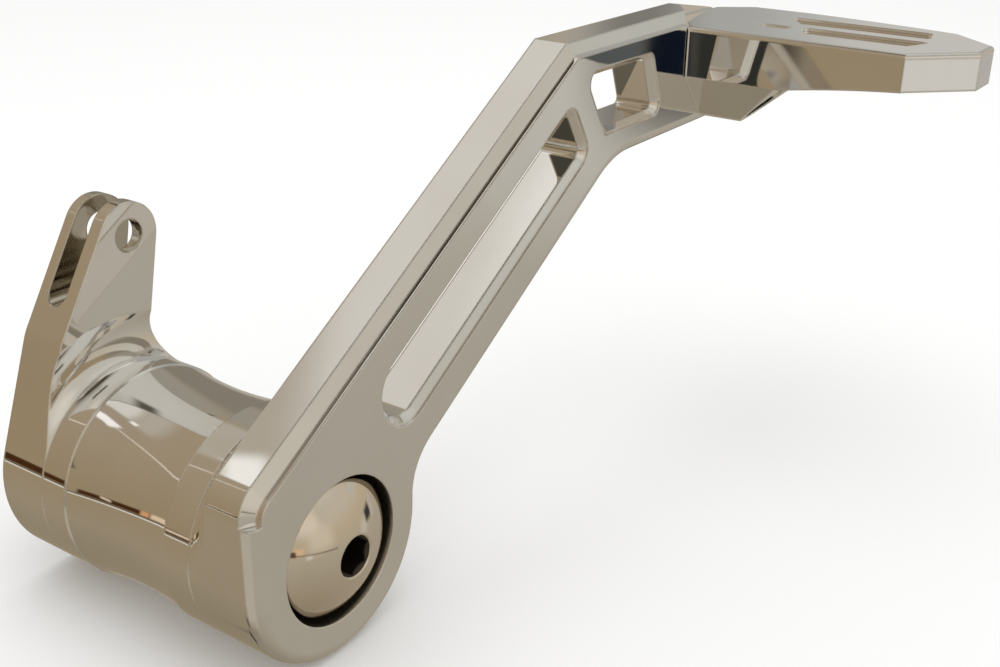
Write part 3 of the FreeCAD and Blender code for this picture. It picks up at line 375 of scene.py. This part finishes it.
# How each metal is worked: the size and height of its waves, the size of its haze,
# and its roughness where it is clear and where it is hazy.
MIRROR_POLISH = (0.03, 0.00001, 0.02, 0.015, 0.05)
DOME_POLISH = (0.012, 0.00001, 0.01, 0.04, 0.09)
GROUND = (0.004, 0.000004, 0.001, 0.2, 0.34)
TURNED_BRONZE = (0.004, 0.000004, 0.001, 0.3, 0.45)
OILED = (0.004, 0.000004, 0.001, 0.3, 0.42)

# Recesses on the pivot, left less polished where the buffing wheel doesn't reach and darkened with
# painted shade: the radius, and Y at the mouth.
DOME_BORE = {"radius": 0.0177, "mouth": -0.0829}
HEX_SOCKET = {"radius": 0.0048, "mouth": -0.0867}
# The slot between the clevis ears, which also gets painted shade: Y at its middle, half its width, and
# Z at its floor.
EAR_SLOT = {"middle": -0.00665, "half_width": 0.00312, "floor": 0.04258}
# The darker tint inside each of them, which is painted shade, and the roughness there.
DOME_BORE_SHADE_AND_ROUGHNESS = ((0.52, 0.50, 0.46, 1.0), 0.32)
HEX_SOCKET_SHADE_AND_ROUGHNESS = ((0.10, 0.085, 0.07, 1.0), 0.5)
EAR_SLOT_SHADE_AND_ROUGHNESS = ((0.62, 0.58, 0.51, 1.0), 0.12)

# Grains on a metre of rubber, and the depth of its grain.
RUBBER_GRAINS = 900.0
RUBBER_GRAIN_DEPTH = 0.00002


def make_polish_group():
    """Soft haze and the slight waviness that a buffing wheel leaves in bright metal."""
    tree, inlet, outlet = new_group("Buffed surface", (
        ("Coordinates", "NodeSocketVector", None),
        ("Wave Size", "NodeSocketFloat", 0.02),
        ("Haze Size", "NodeSocketFloat", 0.008),
        ("Clear", "NodeSocketFloat", 0.02),
        ("Hazy", "NodeSocketFloat", 0.08),
    ), (("Height", "NodeSocketFloat"), ("Roughness", "NodeSocketFloat"), ("Film", "NodeSocketFloat")))
    waves = add(tree, "ShaderNodeTexNoise")
    waves.inputs["Detail"].default_value = 1.0
    link(tree, inlet.outputs["Coordinates"], waves.inputs["Vector"])
    link(tree, maths(tree, "DIVIDE", 1.0, inlet.outputs["Wave Size"]), waves.inputs["Scale"])
    haze = add(tree, "ShaderNodeTexNoise")
    haze.inputs["Detail"].default_value = 4.0
    link(tree, inlet.outputs["Coordinates"], haze.inputs["Vector"])
    link(tree, maths(tree, "DIVIDE", 1.0, inlet.outputs["Haze Size"]), haze.inputs["Scale"])
    rough = spread(tree, haze.outputs["Fac"], 0.35, 0.7, inlet.outputs["Clear"], inlet.outputs["Hazy"])
    link(tree, waves.outputs["Fac"], outlet.inputs["Height"])
    link(tree, rough, outlet.inputs["Roughness"])
    link(tree, spread(tree, haze.outputs["Fac"], 0.3, 0.75, 0.0, 1.0), outlet.inputs["Film"])
    return tree


def make_recess_group():
    """Where a piece lies inside a round recess on the pivot axis: 1 inside, 0 outside."""
    tree, inlet, outlet = new_group("Recess on the pivot", (
        ("Coordinates", "NodeSocketVector", None),
        ("Radius", "NodeSocketFloat", 0.01),
        ("Mouth", "NodeSocketFloat", 0.0),
    ), (("Inside", "NodeSocketFloat"),))
    parts = add(tree, "ShaderNodeSeparateXYZ")
    link(tree, inlet.outputs["Coordinates"], parts.inputs[0])
    across = maths(tree, "MULTIPLY", parts.outputs["X"], parts.outputs["X"])
    out = maths(tree, "MULTIPLY_ADD", parts.outputs["Z"], parts.outputs["Z"], across)
    near = maths(tree, "LESS_THAN", maths(tree, "SQRT", out), inlet.outputs["Radius"])
    deep = maths(tree, "GREATER_THAN", parts.outputs["Y"], inlet.outputs["Mouth"])
    link(tree, maths(tree, "MULTIPLY", near, deep), outlet.inputs["Inside"])
    return tree


def shade_and_dull(material, recess, shade, rough, **sizes):
    """Leave the metal inside a recess less polished, with its own roughness there, and darken its tint
    there as painted shade.
    """
    tree = material.node_tree
    surface = tree.nodes["Principled BSDF"]
    place = add(tree, "ShaderNodeTexCoord").outputs["Object"]
    mask = use_group(tree, recess, coordinates=place, **sizes).outputs["Inside"]
    tint = surface.inputs["Base Color"].links[0].from_socket
    gloss = surface.inputs["Roughness"].links[0].from_socket
    # painted shade: a darker tint inside the recess
    link(tree, mix_colour(tree, mask, tint, shade), surface.inputs["Base Color"])
    link(tree, spread(tree, mask, 0.0, 1.0, gloss, rough), surface.inputs["Roughness"])


def make_slot_group():
    """Where a piece lies in a slot with a round floor, open at the top: 1 inside, 0 outside."""
    tree, inlet, outlet = new_group("Slot between two ears", (
        ("Coordinates", "NodeSocketVector", None),
        ("Middle", "NodeSocketFloat", 0.0),
        ("Half Width", "NodeSocketFloat", 0.003),
        ("Floor", "NodeSocketFloat", 0.04),
    ), (("Inside", "NodeSocketFloat"),))
    parts = add(tree, "ShaderNodeSeparateXYZ")
    link(tree, inlet.outputs["Coordinates"], parts.inputs[0])
    off = maths(tree, "SUBTRACT", parts.outputs["Y"], inlet.outputs["Middle"])
    centre = maths(tree, "ADD", inlet.outputs["Floor"], inlet.outputs["Half Width"])
    below = maths(tree, "MINIMUM", maths(tree, "SUBTRACT", parts.outputs["Z"], centre), 0.0)
    down = maths(tree, "MULTIPLY", below, below)
    out = maths(tree, "SQRT", maths(tree, "MULTIPLY_ADD", off, off, down))
    link(tree, maths(tree, "LESS_THAN", out, inlet.outputs["Half Width"]), outlet.inputs["Inside"])
    return tree


def make_metal(name, polish, tints, work):
    """A buffed or ground metal: two tints mixed by the haze, with its waves as a bump."""
    wave_size, wave_height, haze_size, clear, hazy = work
    material = bpy.data.materials.new(name)
    material.use_nodes = True
    tree = material.node_tree
    surface = tree.nodes["Principled BSDF"]
    surface.inputs["Metallic"].default_value = 1.0
    place = add(tree, "ShaderNodeTexCoord").outputs["Object"]
    buffed = use_group(tree, polish, coordinates=place, wave_size=wave_size, haze_size=haze_size,
                       clear=clear, hazy=hazy)
    link(tree, mix_colour(tree, buffed.outputs["Film"], *tints), surface.inputs["Base Color"])
    link(tree, buffed.outputs["Roughness"], surface.inputs["Roughness"])
    broken_edge = add(tree, "ShaderNodeBevel", samples=EDGE_SAMPLES)
    broken_edge.inputs["Radius"].default_value = EDGE_BREAK
    bump = add(tree, "ShaderNodeBump")
    bump.inputs["Strength"].default_value = 1.0
    bump.inputs["Distance"].default_value = wave_height
    link(tree, broken_edge.outputs["Normal"], bump.inputs["Normal"])
    link(tree, buffed.outputs["Height"], bump.inputs["Height"])
    link(tree, bump.outputs["Normal"], surface.inputs["Normal"])
    return material


def make_rubber(name):
    material = bpy.data.materials.new(name)
    material.use_nodes = True
    tree = material.node_tree
    surface = tree.nodes["Principled BSDF"]
    place = add(tree, "ShaderNodeTexCoord").outputs["Object"]
    grain = add(tree, "ShaderNodeTexNoise")
    grain.inputs["Scale"].default_value = RUBBER_GRAINS
    grain.inputs["Detail"].default_value = 6.0
    link(tree, place, grain.inputs["Vector"])
    pale = spread(tree, grain.outputs["Fac"], 0.35, 0.7, 0.0, 1.0)
    link(tree, mix_colour(tree, pale, *RUBBER_TINTS), surface.inputs["Base Color"])
    link(tree, spread(tree, grain.outputs["Fac"], 0.3, 0.7, 0.55, 0.75), surface.inputs["Roughness"])
    bump = add(tree, "ShaderNodeBump")
    bump.inputs["Distance"].default_value = RUBBER_GRAIN_DEPTH
    link(tree, grain.outputs["Fac"], bump.inputs["Height"])
    link(tree, bump.outputs["Normal"], surface.inputs["Normal"])
    return material


def finish_nodes():
    """Give every piece its metal or rubber, by the material that it has in the solids."""
    polish = make_polish_group()
    recess = make_recess_group()
    finishes = {
        "polished_chrome": make_metal("Mirror chrome", polish, CHROME_TINTS, MIRROR_POLISH),
        "ground_steel": make_metal("Ground steel", polish, STEEL_TINTS, GROUND),
        "bearing_bronze": make_metal("Bearing bronze", polish, BRONZE_TINTS, TURNED_BRONZE),
        "dark_steel": make_metal("Dark oiled steel", polish, OILED_STEEL_TINTS, OILED),
        "seal_rubber": make_rubber("Seal rubber"),
    }
    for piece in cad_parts.values():
        for slot in piece.material_slots:
            slot.material = finishes[slot.material.name.split(".")[0]]
    # The arm, the bolt and the lever get chrome of their own, with painted shade and a higher
    # roughness inside the bore, the hex socket and the slot between the ears.
    arm_chrome = make_metal("Mirror chrome on the arm", polish, CHROME_TINTS, MIRROR_POLISH)
    shade_and_dull(arm_chrome, recess, *DOME_BORE_SHADE_AND_ROUGHNESS, **DOME_BORE)
    bolt_chrome = make_metal("Warm chrome on the bolt", polish, WARM_CHROME_TINTS, DOME_POLISH)
    shade_and_dull(bolt_chrome, recess, *HEX_SOCKET_SHADE_AND_ROUGHNESS, **HEX_SOCKET)
    lever_chrome = make_metal("Mirror chrome on the lever", polish, CHROME_TINTS, MIRROR_POLISH)
    shade_and_dull(lever_chrome, make_slot_group(), *EAR_SLOT_SHADE_AND_ROUGHNESS, **EAR_SLOT)
    for name, metal in (("brake_arm", arm_chrome), ("pivot_bolt", bolt_chrome),
                        ("clevis_lever", lever_chrome)):
        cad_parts[name].material_slots[0].material = metal


# The scene

bpy.context.scene.view_settings.view_transform = "Standard"
make_camera()
make_room()
make_lamp()
make_floor()
finish_nodes()
